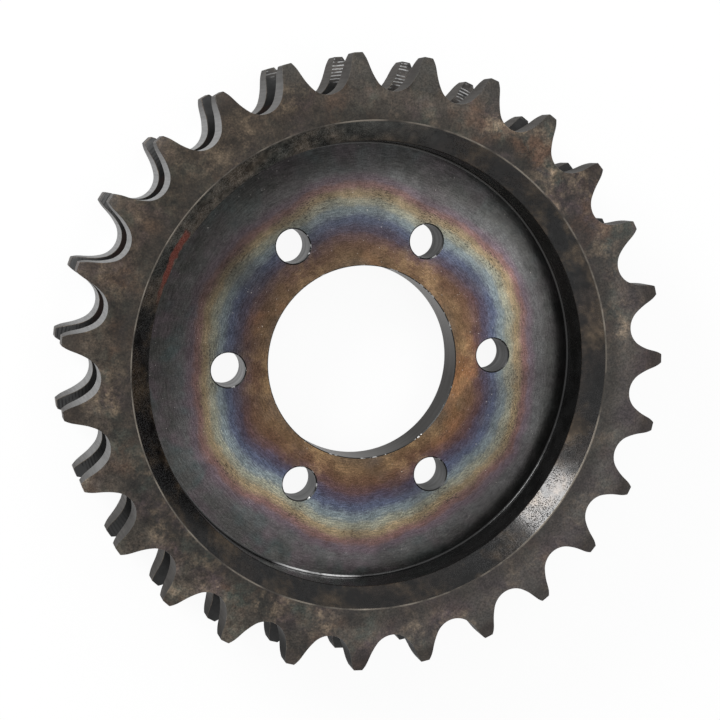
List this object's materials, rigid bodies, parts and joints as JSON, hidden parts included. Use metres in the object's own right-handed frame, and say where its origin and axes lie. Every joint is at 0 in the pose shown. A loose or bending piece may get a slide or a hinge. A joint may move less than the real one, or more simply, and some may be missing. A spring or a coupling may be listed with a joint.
{
  "type": "duplex chain sprocket",
  "caption": "Duplex roller chain sprocket in one piece, with two rows of teeth, a deeply dished web, a plain bore and a circle of bolt holes.",
  "frame": {"origin": "on the bore axis, inside the bore, midway between the two rows of teeth", "axes": "+Z along the bore axis towards the deep side of the dish, +X through the middle of a tooth, +Y completes the right-handed set"},
  "size_m": [0.23, 0.2304, 0.0434],
  "materials": {
    "scaled_steel": "dark heat scale with rust mottling, machined flanks and heat-tinted web"
  },
  "bodies": {
    "root": {"sprocket": "scaled_steel"}
  },
  "joints": []
}
